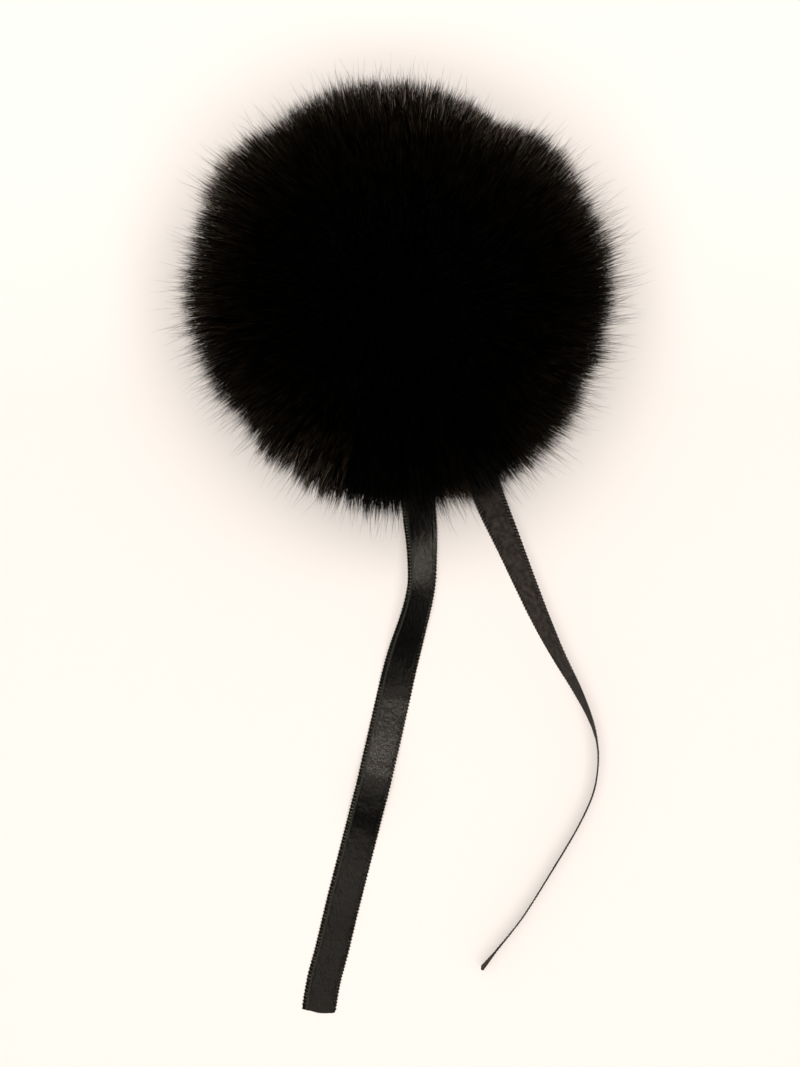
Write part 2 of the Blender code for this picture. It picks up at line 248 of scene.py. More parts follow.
# A stitch that wraps a ribbon's edge, from the glossy face to the dull back: how far out
# its points lie, in parts of half the ribbon's width, how far towards the glossy side, in
# parts of the woven edge's thickness, and how wide it is there, in parts of its width.
EDGE_STITCH = ((0.83, 0.36, 1.0), (0.92, 0.46, 1.0), (1.04, 0.22, 0.9), (1.04, -0.22, 0.9),
               (0.91, -0.58, 1.2), (0.77, -0.48, 1.2))
STITCH_SLANT = (-0.5, -0.3, -0.1, 0.0, 0.2, 0.5)  # how far along, in parts of the pitch
FLAT_STITCH = 0.4  # how thick a stitch's thread lies, in parts of its width
STITCH_RISE = 0.12  # how far the ribbon's ripples lift the stitches, in millimetres
UNEVEN_PITCH = 0.05  # how unevenly they stand along it, in millimetres
UNEVEN_HEIGHT = 0.08  # how unevenly they rise and slant, in parts of the mean
UNEVEN_SLANT = 0.1
UNEVEN_THREAD = 0.2  # how far the paleness of single stitches strays
THREAD_HIGHLIGHT_SHIFT = (-0.6, 0.6)  # how far they shift from deep to pale, with their painted highlight
ON_FACE = (0.26, 0.14)  # where a stitch is off the glossy face, and where it lies on it

# Painted highlight on the stitches of the glossy face along a tail, from 0 to 1, where they
# would catch the light: the run in millimetres, and then the left and the right edge.
THREAD_HIGHLIGHT = ((0, 0.90, 0.00), (80, 0.90, 0.00), (88, 0.02, 0.20), (108, 0.02, 0.30),
               (118, 0.35, 0.20), (150, 0.45, 0.15), (165, 0.30, 0.15), (213, 0.30, 0.15))

# Painted light: the surface is painted brighter between these two places in y, towards its far
# side.
FAR_SIDE_LIGHT = (-0.06, 0.08)

# The lights, as soft boxes that look at AIM: where each stands, its two sides, the setting
# that holds its power, and its share of that.  A glossy one shows in gloss alone, and any
# other lights everything but shows in no gloss.
AIM = Vector((0.0, -0.10, 0.0))
Box = namedtuple("Box", "name place wide deep power share glossy")
BOXES = [Box(*values) for values in (
    ("overhead_fill", (0.0, -0.12, 1.9), 1.5, 1.5, "fill_power", 0.5, False),
    ("overhead_fill_past_tails", (0.0, -0.12, 1.9), 1.5, 1.5, "fill_power", 0.5, False),
    ("gloss_box", (0.12, 0.38, 1.08), 0.5, 0.35, "key_power", 1.0, True),
    ("side_gloss_box", (1.01, 0.25, 0.45), 0.45, 0.45, "side_power", 1.0, True),
    ("top_gloss_box", (-0.02, -0.45, 1.31), 0.42, 0.42, "top_power", 1.0, True))]

# The picture: the camera looks straight down, and this much of the surface fills its height.
SEEN_HEIGHT = 0.3233
CAMERA_PLACE = Vector((0.00028, -0.06617, 0.700))
SENSOR = 36.0


# ---- what a user may change

def a_length(name, description, default, low, high):
    """A length in metres, between a least and a most."""
    return FloatProperty(name=name, description=description, default=default, min=low,
                         max=high, unit="LENGTH")


def a_share(name, description, default, high):
    """A plain number from 0 to a most."""
    return FloatProperty(name=name, description=description, default=default, min=0.0, max=high)


def a_count(name, description, default, low, high):
    """How many of a thing there are."""
    return IntProperty(name=name, description=description, default=default, min=low, max=high)


def a_power(name, description, default):
    """The power of a light in watts."""
    return FloatProperty(name=name, description=description, default=default, min=0.0,
                         max=1000.0, unit="POWER")


def a_colour(name, description, default):
    """A colour by its red, green and blue."""
    return FloatVectorProperty(name=name, description=description, default=default,
                               subtype="COLOR", size=3, min=0.0, max=1.0)


class FurSettings(bpy.types.PropertyGroup):
    """Sizes and colours of the fur ball."""

    backing_radius: a_length(
        "Backing radius", "Radius of the gathered pelt under the hairs", 0.042, 0.02, 0.05)
    tufts: a_count("Tufts", "Tufts of dense hair all over the ball", 5900, 200, 5900)
    hairs_in_a_tuft: a_count("Hairs in a tuft", "Hairs that share one tuft", 13, 1, 13)
    hair_width: a_length("Hair width", "Width of a dense hair at its root", 0.00028, 0.00005, 0.001)
    guard_hairs: a_count(
        "Guard hairs", "Long thin hairs that stand past the dense fur", 10000, 0, 12000)
    guard_width: a_length(
        "Guard hair width", "Width of a guard hair at its root", 0.000108, 0.00003, 0.001)
    ruffle: a_share("Ruffle", "How far single hairs stray from their tuft", 0.022, 0.3)
    droop: a_share("Droop", "How far the fur at the rim hangs under its own weight", 0.03, 0.3)
    root_colour: a_colour(
        "Fur colour", "Colour of the fur near the backing", (0.0001, 0.0001, 0.0001))
    tip_colour: a_colour("Tip colour", "Colour of the hair tips", (0.0006, 0.0005, 0.0003))
    # The pale band is painted sheen on the hairs, and the thin ends' colour is a painted glow of
    # light coming through them.
    sheen_band_colour: a_colour(
        "Pale band", "Colour of the band that a few hairs have below the tip", (0.46, 0.39, 0.32))
    glow_end_colour: a_colour(
        "Thin ends", "Colour of the thin hair ends that light comes through", (0.150, 0.086, 0.036))


class RibbonSettings(bpy.types.PropertyGroup):
    """Sizes and colours of the two ribbon tails."""

    width: a_length("Width", "Width of the ribbon, edge to edge", 0.010, 0.003, 0.03)
    thickness: a_length("Edge thickness", "Thickness of the woven edge", 0.00036, 0.0001, 0.001)
    step: a_length("Step", "Distance between the sections along a tail", 0.001, 0.0005, 0.005)
    stitch_pitch: a_length(
        "Stitch pitch", "Distance between the stitches along an edge", 0.00105, 0.0005, 0.005)
    stitch_width: a_length("Stitch width", "Thickness of an edge stitch", 0.00046, 0.0001, 0.001)
    satin_colour: a_colour("Satin colour", "Colour of the glossy face", (0.0012, 0.0010, 0.0008))
    back_colour: a_colour("Back colour", "Colour of the dull back", (0.038, 0.031, 0.026))
    edge_colour: a_colour("Edge colour", "Colour of the woven edge", (0.024, 0.022, 0.017))
    # The stitch colour shows as the stitches' painted highlight on the glossy face.
    stitch_highlight_colour: a_colour("Stitch colour", "Colour of the edge stitches", (0.300, 0.275, 0.170))


class StudioSettings(bpy.types.PropertyGroup):
    """The pale surface and the soft light."""

    floor_size: a_length("Surface size", "Length of the pale surface's sides", 4.0, 0.5, 20.0)
    floor_colour: a_colour("Surface colour", "Colour of the pale surface", (0.930, 0.845, 0.780))
    fill_power: a_power("Fill light", "Power of the soft light from straight above", 43.6)
    key_power: a_power("Gloss light", "Power of the soft box that makes the gloss", 6.4)
    side_power: a_power("Side gloss", "Power of the low soft box that the satin alone sees", 3.8)
    top_power: a_power("Top gloss", "Power of the high soft box that the satin alone sees", 1.72)
    gloss_colour: a_colour(
        "Gloss colour", "Colour of the light that makes the gloss", (1.00, 0.89, 0.78))
    ambient: a_share("Room light", "Strength of the light from all around", 0.15, 5.0)


# ---- small helpers

def deselect():
    """Start the next piece with nothing selected."""
    if bpy.context.object and bpy.context.object.mode != "OBJECT":
        bpy.ops.object.mode_set(mode="OBJECT")
    bpy.ops.object.select_all(action="DESELECT")


def added(name, operator, **options):
    """The piece that an operator adds, under its name."""
    deselect()
    operator(**options)
    piece = bpy.context.object
    piece.name = name
    piece.data.name = name
    return piece


def unit(vectors):
    """Each of many vectors at length one."""
    length = np.linalg.norm(vectors, axis=-1, keepdims=True)
    return vectors / np.maximum(length, 1e-12)


def by_bearing(table, bearing):
    """A table's values at many bearings in degrees, joined up all the way round."""
    degrees, values = np.array(table, float).T
    return np.interp(bearing, degrees, values, period=360.0)


def bearings(directions):
    """The bearing of each direction in degrees, from +X towards +Y."""
    return np.degrees(np.arctan2(directions[:, 1], directions[:, 0])) % 360.0


def quantile(table, share):
    """The reach that a share of the hairs doesn't pass."""
    shares, reaches = np.array(table).T
    return np.interp(share, shares, reaches)


def dense_reach(directions):
    """How far the dense fur reaches each way, in metres: the outline at the rim."""
    mean = np.mean([row[1] for row in DENSE_FUR])
    rim = 1.0 - directions[:, 2] ** 2
    return MM * (mean + (by_bearing(DENSE_FUR, bearings(directions)) - mean) * rim)


def waves(directions, rng, pitch, count=7):
    """A smooth uneven value for each direction, about from -1 to 1."""
    ways = unit(rng.normal(size=(count, 3))) * (2.0 * math.pi / pitch)
    starts = rng.uniform(0.0, 2.0 * math.pi, count)
    return np.sin(directions @ ways.T + starts).sum(axis=1) * math.sqrt(2.0 / count) * 0.7


def two_waves(directions, rng, size, pitch, finer):
    """Waves of about this size, with finer ones of half of it on top."""
    return size * (waves(directions, rng, pitch) + 0.5 * waves(directions, rng, finer))


def spread_directions(count):
    """Directions spread evenly over a ball, on a spiral from its top to its foot."""
    golden_turn = math.pi * (3.0 - math.sqrt(5.0))
    number = np.arange(count) + 0.5
    height = 1.0 - 2.0 * number / count
    level = np.sqrt(1.0 - height ** 2)
    turn = number * golden_turn
    return np.stack((level * np.cos(turn), level * np.sin(turn), height), axis=1)


def sideways(directions):
    """For each direction, the way round the ball and the way up it."""
    upright = np.where(np.abs(directions[:, 2:3]) < 0.98, (0.0, 0.0, 1.0), (0.0, 1.0, 0.0))
    round_it = unit(np.cross(upright, directions))
    return round_it, np.cross(directions, round_it)


# ---- meshes of many thin rods

def rod_faces(rings, pointed):
    """The triangles of one closed rod, by its points' numbers."""
    faces = []
    for ring in range(rings - 1):
        low, high = ring * ROUND, (ring + 1) * ROUND
        for here in range(ROUND):
            after = (here + 1) % ROUND
            faces.append((low + here, low + after, high + after))
            faces.append((low + here, high + after, high + here))
    last = (rings - 1) * ROUND
    if pointed:
        faces += [(last + here, last + (here + 1) % ROUND, last + ROUND) for here in range(ROUND)]
    else:
        faces.append((last, last + 1, last + 2))
    return np.array(faces + [(0, 2, 1)])


def rod_mesh(name, lines, widths, side, luck_and_sheen, pointed, flat=1.0):
    """One mesh of many thin closed rods.

    lines holds each rod's points, widths how thick it is there, side a way across it, and
    luck one number for each rod.  The map "strand" runs from root to tip in u, and v is
    the rod's luck.  A pointed rod ends in one point, and any other in a flat cap.  flat is
    how thick a rod is away from its side, in parts of its width.
    """
    count, stops = lines.shape[:2]
    ahead = np.empty_like(lines)
    ahead[:, 1:-1] = lines[:, 2:] - lines[:, :-2]
    ahead[:, 0] = lines[:, 1] - lines[:, 0]
    ahead[:, -1] = lines[:, -1] - lines[:, -2]
    ahead = unit(ahead)
    second = unit(np.cross(ahead, side[:, None, :]))
    first = np.cross(second, ahead)
    rings = stops - 1 if pointed else stops
    turns = 2.0 * math.pi * np.arange(ROUND) / ROUND
    spokes = (first[:, :rings, None, :] * np.cos(turns)[None, None, :, None]
              + flat * second[:, :rings, None, :] * np.sin(turns)[None, None, :, None])
    corners = lines[:, :rings, None, :] + 0.5 * widths[:, :rings, None, None] * spokes
    corners = corners.reshape(count, rings * ROUND, 3)
    along = np.repeat(np.linspace(0.0, 1.0, stops)[:rings], ROUND)
    if pointed:
        corners = np.concatenate((corners, lines[:, -1:, :]), axis=1)
        along = np.append(along, 1.0)
    in_a_rod = corners.shape[1]
    faces = rod_faces(rings, pointed) + (np.arange(count) * in_a_rod)[:, None, None]
    faces = faces.reshape(-1, 3)
    mesh = bpy.data.meshes.new(name)
    mesh.from_pydata(corners.reshape(-1, 3), [], faces, shade_flat=False)
    strand = mesh.uv_layers.new(name="strand")
    values = np.stack((np.tile(along, count), np.repeat(luck_and_sheen, in_a_rod)), axis=1)
    strand.data.foreach_set("uv", values[faces.ravel()].astype(np.float32).ravel())
    piece = bpy.data.objects.new(name, mesh)
    bpy.context.scene.collection.objects.link(piece)
    return piece


# ---- materials

FIRST_COLUMN = -1600.0  # where a tree's sources stand in the node editor
COLUMN = 200.0
ROW_HEIGHT = 220.0
NOISE_SPREAD = (0.3, 0.7)  # between which values nearly all of a noise lies


def rgba(colour, share=1.0):
    """A share of a colour, with its alpha."""
    return (*(min(1.0, share * part) for part in colour), 1.0)


def new_material(name):
    """A material and its node tree."""
    material = bpy.data.materials.new(name)
    material.use_nodes = True
    return material, material.node_tree


def feed(tree, node, entries):
    """Give a node's inputs, by number or name, a plain value or the output that feeds it."""
    for key, value in entries.items():
        if isinstance(value, bpy.types.NodeSocket):
            tree.links.new(value, node.inputs[key])
        else:
            node.inputs[key].default_value = value


def add_node(tree, kind, *first, **named):
    """A node: first feeds its first inputs, and named holds its settings and other inputs.

    It stands one column past what feeds it, below the nodes that are there already.
    """
    node = tree.nodes.new(kind)
    entries = dict(enumerate(first))
    for key, value in named.items():
        if hasattr(node, key):
            setattr(node, key, value)
        else:
            entries[key] = value
    feed(tree, node, entries)
    givers = [value.node for value in entries.values() if isinstance(value, bpy.types.NodeSocket)]
    column = max([giver.location.x + COLUMN for giver in givers], default=FIRST_COLUMN)
    above = sum(other.location.x == column for other in tree.nodes)
    node.location = (column, -ROW_HEIGHT * above)
    return node


def shade(tree, colour, roughness, shine, more=None):
    """Give a material's shader its colour, its roughness, its shine and what else it needs."""
    feed(tree, tree.nodes["Principled BSDF"], {
        "Base Color": colour, "Roughness": roughness, "Specular IOR Level": shine, **(more or {})})


def computed(tree, operation, *values, use_clamp=False):
    """What an operation makes of plain values and outputs."""
    return add_node(tree, "ShaderNodeMath", *values, operation=operation,
                    use_clamp=use_clamp).outputs["Value"]


def ranged(tree, value, source, target=(0.0, 1.0), ease="LINEAR"):
    """A value brought from one range to another, and held inside it."""
    return add_node(tree, "ShaderNodeMapRange", value, *source, *target,
                    interpolation_type=ease).outputs["Result"]


def mixed(tree, factor, one, other):
    """One colour that turns into another as the factor goes from 0 to 1."""
    return add_node(tree, "ShaderNodeMix", data_type="RGBA", Factor=factor, A=one,
                    B=other).outputs["Result"]


def bumped(tree, height, distance, strength=1.0, **entries):
    """The normals of a face that a height raises by up to a distance."""
    return add_node(tree, "ShaderNodeBump", Height=height, Distance=distance,
                    Strength=strength, **entries).outputs["Normal"]


def shared_group(name, taken, given):
    """A new shared group with its sockets, by name and type, and the outputs of its entry."""
    group = bpy.data.node_groups.new(name, "ShaderNodeTree")
    for way, sockets in (("INPUT", taken), ("OUTPUT", given)):
        for socket, kind in sockets.items():
            group.interface.new_socket(socket, in_out=way, socket_type=f"NodeSocket{kind}")
    return group, add_node(group, "NodeGroupInput").outputs


def uneven_colour(tree, **entries):
    """A colour that drifts between Deep and Pale as dyed stuff does, by a shared group; where a
    caller feeds Shift with painted light, it carries that too.
    """
    group = bpy.data.node_groups.get("uneven colour")
    if group is None:
        group, entry = shared_group(
            "uneven colour", {"Vector": "Vector", "Scale": "Float", "Deep": "Color",
                              "Pale": "Color", "Shift": "Float"},
            {"Colour": "Color", "Mask": "Float"})
        drift = add_node(group, "ShaderNodeTexNoise", Vector=entry["Vector"],
                         Scale=entry["Scale"], Detail=3.0, Roughness=0.6)
        stretched = ranged(group, drift.outputs["Fac"], NOISE_SPREAD)
        mask = computed(group, "ADD", stretched, entry["Shift"], use_clamp=True)
        colour = mixed(group, mask, entry["Deep"], entry["Pale"])
        add_node(group, "NodeGroupOutput", colour, mask)
    return add_node(tree, "ShaderNodeGroup", node_tree=group, **entries)


def threads(tree, cloth, stretch):
    """The height of fine threads on a cloth, by a shared group."""
    group = bpy.data.node_groups.get("fine threads")
    if group is None:
        group, entry = shared_group(
            "fine threads", {"Vector": "Vector", "Stretch": "Vector"}, {"Height": "Float"})
        scaled = add_node(group, "ShaderNodeVectorMath", entry["Vector"], entry["Stretch"],
                          operation="MULTIPLY")
        thread = add_node(group, "ShaderNodeTexNoise", Vector=scaled.outputs["Vector"],
                          Scale=1.0, Detail=4.0, Roughness=0.65)
        add_node(group, "NodeGroupOutput", thread.outputs["Fac"])
    return add_node(tree, "ShaderNodeGroup", cloth, stretch, node_tree=group).outputs["Height"]


def fur_material(name, fur, roughness, shine):
    """Black hair with a painted brown glow of light coming through its thin ends, and here and
    there a paler band of painted sheen.
    """
    material, tree = new_material(name)
    strand = add_node(tree, "ShaderNodeUVMap", uv_map="strand").outputs["UV"]
    place = add_node(tree, "ShaderNodeTexCoord").outputs["Object"]
    to_tip, luck_and_sheen, _ = add_node(tree, "ShaderNodeSeparateXYZ", strand).outputs
    # The tips' colour drifts at random, and is painted paler where the luck carries painted sheen.
    dye_and_light = uneven_colour(tree, Vector=place, Scale=60.0, Deep=rgba(fur.tip_colour),
                        Pale=rgba(fur.tip_colour, 1.7),
                        Shift=ranged(tree, luck_and_sheen, (0.0, 1.0), HAIR_DYE_AND_SHEEN))
    hair = mixed(tree, computed(tree, "POWER", to_tip, 2.0), rgba(fur.root_colour),
                 dye_and_light.outputs["Colour"])
    # Painted sheen: a pale band near the tip of a few hairs, mostly at the rim.
    band = ranged(tree, to_tip, SHEEN_BAND, ease="SMOOTHSTEP")
    sheen_banded = computed(tree, "MULTIPLY", band, computed(tree, "POWER", luck_and_sheen, SHEEN_RARITY))
    hair = mixed(tree, sheen_banded, hair, rgba(fur.sheen_band_colour))
    # Painted glow: the thin ends turn browner where light would come through them, more towards the
    # rim.
    ends = ranged(tree, to_tip, GLOW_END, ease="SMOOTHSTEP")
    thin = computed(tree, "MULTIPLY", ends, computed(tree, "POWER", luck_and_sheen, GLOW_RARITY))
    level = add_node(tree, "ShaderNodeVectorMath", place, (1.0, 1.0, BACKLIT_RISE),
                     operation="MULTIPLY")
    out = add_node(tree, "ShaderNodeVectorMath", level.outputs["Vector"], operation="LENGTH")
    backlit_gate = ranged(tree, luck_and_sheen, BACKLIT_LUCKS, (0.0, BACKLIT_SHARE))
    backlit_fringe = ranged(tree, out.outputs["Value"], BACKLIT_FRINGE, (0.0, backlit_gate), ease="SMOOTHSTEP")
    hair = mixed(tree, computed(tree, "MAXIMUM", thin, backlit_fringe), hair, rgba(fur.glow_end_colour))
    dull = ranged(tree, luck_and_sheen, (0.0, 1.0), [roughness + part for part in HAIR_DULLNESS])
    shade(tree, hair, dull, shine, {"Specular Tint": rgba(HAIR_SHEEN)})
    return material


def pelt_material(colour):
    """The gathered pelt under the hairs, with its short wool."""
    material, tree = new_material("pelt_wool")
    place = add_node(tree, "ShaderNodeTexCoord").outputs["Object"]
    dye_and_light = uneven_colour(tree, Vector=place, Scale=120.0, Deep=rgba(colour),
                        Pale=rgba(colour, 1.6))
    wool = bumped(tree, dye_and_light.outputs["Mask"], WOOL_HEIGHT, 0.8)
    shade(tree, dye_and_light.outputs["Colour"], 0.95, 0.1, {"Normal": wool})
    return material


def cloth_material(cloth, colour):
    """A face of the ribbon.  Its map is in millimetres: u across it and v along it."""
    material, tree = new_material(cloth.name)
    place = add_node(tree, "ShaderNodeUVMap", uv_map="cloth").outputs["UV"]
    dye_and_light = uneven_colour(tree, Vector=place, Scale=cloth.drift, Deep=rgba(colour, cloth.deep),
                        Pale=rgba(colour, cloth.pale))
    weave = threads(tree, place, cloth.stretch)
    rough = ranged(tree, weave, NOISE_SPREAD,
                   (cloth.roughness - UNEVEN_GLOSS, cloth.roughness + UNEVEN_GLOSS))
    dented = bumped(tree, threads(tree, place, CRUSH), cloth.dents)
    woven = bumped(tree, weave, cloth.bump, Normal=dented)
    shade(tree, dye_and_light.outputs["Colour"], rough, cloth.shine, {"Normal": woven})
    return material


def ribbon_materials(ribbon):
    """The face, the back, the matt band, the dark edge and the back's edge, made once."""
    return [bpy.data.materials.get(cloth.name)
            or cloth_material(cloth, getattr(ribbon, cloth.colour)) for cloth in CLOTHS]


def stitch_material(colour):
    """The edge stitches' thread: near black, with a painted olive highlight where it lies on the
    glossy face.
    """
    name = "stitch_thread"
    if name in bpy.data.materials:
        return bpy.data.materials[name]
    material, tree = new_material(name)
    strand = add_node(tree, "ShaderNodeUVMap", uv_map="strand").outputs["UV"]
    to_end, luck_and_sheen, _ = add_node(tree, "ShaderNodeSeparateXYZ", strand).outputs
    dye_and_light = uneven_colour(tree, Vector=strand, Scale=40.0, Deep=rgba(colour, 0.04),
                        Pale=rgba(colour), Shift=ranged(tree, luck_and_sheen, (0.0, 1.0), THREAD_HIGHLIGHT_SHIFT))
    thread = mixed(tree, ranged(tree, to_end, ON_FACE), rgba(colour, 0.005),
                   dye_and_light.outputs["Colour"])
    shade(tree, thread, 0.6, 0.12)
    return material


def floor_material(colour):
    """The pale, smooth surface that the pom pom lies on, with painted light that makes it a little
    brighter at its far side.
    """
    material, tree = new_material("pale_surface")
    place = add_node(tree, "ShaderNodeTexCoord").outputs["Object"]
    far = add_node(tree, "ShaderNodeSeparateXYZ", place).outputs["Y"]
    # Painted light: up to 7% brighter towards the far side.
    dye_and_light = uneven_colour(tree, Vector=place, Scale=0.2, Deep=rgba(colour),
                        Pale=rgba(colour, 1.07), Shift=ranged(tree, far, FAR_SIDE_LIGHT, (-1.0, 1.0)))
    shade(tree, dye_and_light.outputs["Colour"], 1.0, 0.0)
    return material


# ---- the ribbon tails

def between(a, b, c, d, t):
    """Catmull-Rom value at t between b and c."""
    return 0.5 * (2.0 * b + (c - a) * t + (2.0 * a - 5.0 * b + 4.0 * c - d) * t * t
                  + (3.0 * b - a - 3.0 * c + d) * t ** 3)


def row_at(rows, place):
    """The row at a fractional place in a tail's table, on a smooth curve through it."""
    first = min(int(place), len(rows) - 2)
    picks = [rows[max(0, min(len(rows) - 1, first + step))] for step in (-1, 0, 1, 2)]
    return Row(*(between(*column, place - first) for column in zip(*picks)))


def ribbon_centre(row, ribbon):
    """The middle of the ribbon, with its lowest edge at the row's lift."""
    turn = math.radians(row.roll)
    rise = 0.5 * (ribbon.width * abs(math.sin(turn)) + ribbon.thickness * abs(math.cos(turn)))
    return Vector((row.x * MM, row.y * MM, max(row.lift, 0.0) * MM + rise))


def tail_stations(rows, ribbon):
    """Evenly spread sections along a tail, each with its own crossways and normal."""
    places = [step / FINE for step in range((len(rows) - 1) * FINE + 1)]
    centres = [ribbon_centre(row_at(rows, place), ribbon) for place in places]
    run = np.cumsum([0.0] + [(b - a).length for a, b in zip(centres, centres[1:])])
    goals = np.linspace(0.0, run[-1], round(run[-1] / ribbon.step) + 1)
    step = 0.5 / FINE
    stations = []
    for goal, place in zip(goals.tolist(), np.interp(goals, run, places).tolist()):
        row = row_at(rows, place)
        ahead = ribbon_centre(row_at(rows, min(place + step, len(rows) - 1)), ribbon)
        behind = ribbon_centre(row_at(rows, max(place - step, 0.0)), ribbon)
        along = (ahead - behind).normalized()
        level = Vector((0.0, 0.0, 1.0)).cross(along).normalized()
        upright = along.cross(level)
        turn = math.radians(row.roll)
        across = level * math.cos(turn) + upright * math.sin(turn)
        normal = upright * math.cos(turn) - level * math.sin(turn)
        stations.append(Station(goal, ribbon_centre(row, ribbon), along, across, normal))
    return stations


def rippled(run, place, starts):
    """How far the cloth stands off its route, at a run and a place across from -1 to 1."""
    ripple = 0.5 + 0.3 * math.sin(run / 3.1 + starts[0]) + 0.2 * math.sin(run / 1.7 + starts[1])
    side = 1.0 + math.sin(run / 4.3 + starts[2] + place) * place
    return MM * (RIPPLE * ripple + SIDE_RIPPLE * side + CROWN * (1.0 - place ** 2))


def cut_reach(place):
    """How far the cut end runs past its last section, for a place across from -1 to 1."""
    bulge = CUT_BULGE * (1.0 - place ** 2) * (1.0 + 0.5 * place) - CUT_BACK
    frayed = CUT_WAVES * (math.sin(7.0 * place + 1.0) + 0.6 * math.sin(17.0 * place))
    return MM * (bulge - CUT_SLANT * place + frayed)


def make_ribbon(name, node, rows, ribbon, glossy_up, ripple_seed):
    """A ribbon tail: one thin sheet with two woven edges, on its solid's route."""
    stations = tail_stations(rows, ribbon)
    across = [thread._replace(place=-thread.place) for thread in reversed(HALF_RIBBON[1:])]
    across += HALF_RIBBON
    columns, lines = len(across), len(stations)
    piece = added(name, bpy.ops.mesh.primitive_grid_add, x_subdivisions=columns - 1,
                  y_subdivisions=lines - 1, size=1.0)
    mesh = piece.data
    if len(mesh.vertices) != columns * lines:
        raise RuntimeError(f"{name}: the grid has {len(mesh.vertices)} points")
    starts = np.random.default_rng(ripple_seed).uniform(0.0, 2.0 * math.pi, 4)
    half = 0.5 * ribbon.width
    places = []
    group = piece.vertex_groups.new(name="thickness")
    for vertex in mesh.vertices:
        line = lines - 1 - round((vertex.co.y + 0.5) * (lines - 1))
        thread, station = across[round((vertex.co.x + 0.5) * (columns - 1))], stations[line]
        run = station.run / MM
        vertex.co = (station.centre + station.across * (half * thread.place)
                     + station.normal * rippled(run, thread.place, starts))
        if line == lines - 1:
            vertex.co += station.along * cut_reach(thread.place)
        places.append((thread.place * half / MM, run))
        group.add([vertex.index], thread.thick, "REPLACE")
    cloth = mesh.uv_layers.active
    cloth.name = "cloth"
    for loop in mesh.loops:
        cloth.data[loop.index].uv = places[loop.vertex_index]
    for face in mesh.polygons:
        middle = sum(places[index][0] for index in face.vertices) / len(face.vertices)
        part = max(thread.part for thread in HALF_RIBBON
                   if thread.place * half / MM < abs(middle))
        face.material_index = 0 if glossy_up and middle > 0.0 else part
    satin, back, band, edge, back_edge = ribbon_materials(ribbon)
    faces = ((satin, band, edge), (back, back, back_edge))
    if not glossy_up:
        faces = faces[::-1]
    for material in faces[0] + faces[1]:
        mesh.materials.append(material)
    wall = piece.modifiers.new("cloth thickness", "SOLIDIFY")
    wall.thickness = ribbon.thickness
    wall.offset = 0.0
    wall.vertex_group = "thickness"
    wall.thickness_vertex_group = 0.0
    wall.material_offset = 3
    wall.material_offset_rim = 0
    bpy.ops.object.modifier_apply(modifier=wall.name)
    bpy.ops.object.shade_smooth_by_angle(angle=math.radians(SMOOTH_BELOW))
    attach(piece, BODY)
    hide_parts(node)
    return piece, stations


def make_edge_stitches(name, stations, ribbon, glossy_up, seed):
    """The row of tiny stitches that wraps each edge of a tail, all in one mesh."""
    rng = np.random.default_rng(seed)
    facing = 1.0 if glossy_up else -1.0
    runs = np.array([station.run for station in stations])
    count = int(runs[-1] / ribbon.stitch_pitch) - 1
    lines, sides = [], []
    for edge in (-1.0, 1.0):
        for number in range(count):
            run = (number + 1.0) * ribbon.stitch_pitch + rng.normal(0.0, UNEVEN_PITCH * MM)
            station = stations[int(np.abs(runs - run).argmin())]
            middle = station.centre + station.along * (run - station.run)
            swell = facing * (1.0 + rng.normal(0.0, UNEVEN_HEIGHT))
            slant = facing * rng.normal(1.0, UNEVEN_SLANT) * ribbon.stitch_pitch
            line = []
            for (out, high, _), tilt in zip(EDGE_STITCH, STITCH_SLANT):
                rise = high * ribbon.thickness * swell + STITCH_RISE * MM
                line.append(middle + station.across * (edge * out * 0.5 * ribbon.width)
                            + station.normal * rise + station.along * (slant * tilt))
            lines.append(line)
            sides.append(station.along)
    lines = np.array(lines)
    widths = ribbon.stitch_width * np.tile([point[2] for point in EDGE_STITCH], (len(lines), 1))
    # The stitches' painted highlight along the tail, with some chance on top.
    along, *edges = np.array(THREAD_HIGHLIGHT).T
    starts = (np.arange(count) + 1.0) * ribbon.stitch_pitch / MM
    luck_and_sheen = np.concatenate([np.interp(starts, along, pale) for pale in edges])
    luck_and_sheen = np.clip(luck_and_sheen + rng.uniform(-UNEVEN_THREAD, UNEVEN_THREAD, 2 * count), 0.0, 1.0)
    piece = rod_mesh(name, lines, widths, np.array(sides), luck_and_sheen, pointed=False, flat=FLAT_STITCH)
    piece.data.materials.append(stitch_material(ribbon.stitch_highlight_colour))
    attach(piece, BODY)
    return piece


# ---- the fur

def make_pelt(fur):
    """The gathered pelt: a soft lumpy ball with its gathers drawn in at the foot."""
    piece = added("pelt_backing", bpy.ops.mesh.primitive_ico_sphere_add, subdivisions=5,
                  radius=fur.backing_radius, location=tuple(BALL_CENTRE))
    bpy.ops.object.transform_apply(location=True, rotation=True, scale=True)
    lumps = bpy.data.textures.new("pelt lumps", "CLOUDS")
    lumps.noise_scale = LUMP_SIZE
    soft = piece.modifiers.new("lumps", "DISPLACE")
    soft.texture = lumps
    soft.texture_coords = "LOCAL"
    soft.mid_level = 1.0
    soft.strength = LUMP_DEPTH
    bpy.ops.object.modifier_apply(modifier=soft.name)
    for vertex in piece.data.vertices:
        offset = vertex.co - Vector(BALL_CENTRE)
        low = -offset.z / fur.backing_radius
        foot = max(0.0, low - GATHERS_FROM) / (1.0 - GATHERS_FROM)
        gathers = 0.5 + 0.5 * math.cos(GATHERS * math.atan2(offset.y, offset.x))
        vertex.co -= offset * (foot * (FOOT_DEPTH + GATHER_DEPTH * gathers))
    bpy.ops.object.shade_smooth()
    piece.data.materials.append(pelt_material(fur.root_colour))
    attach(piece, BODY)
    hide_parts("fur_ball")


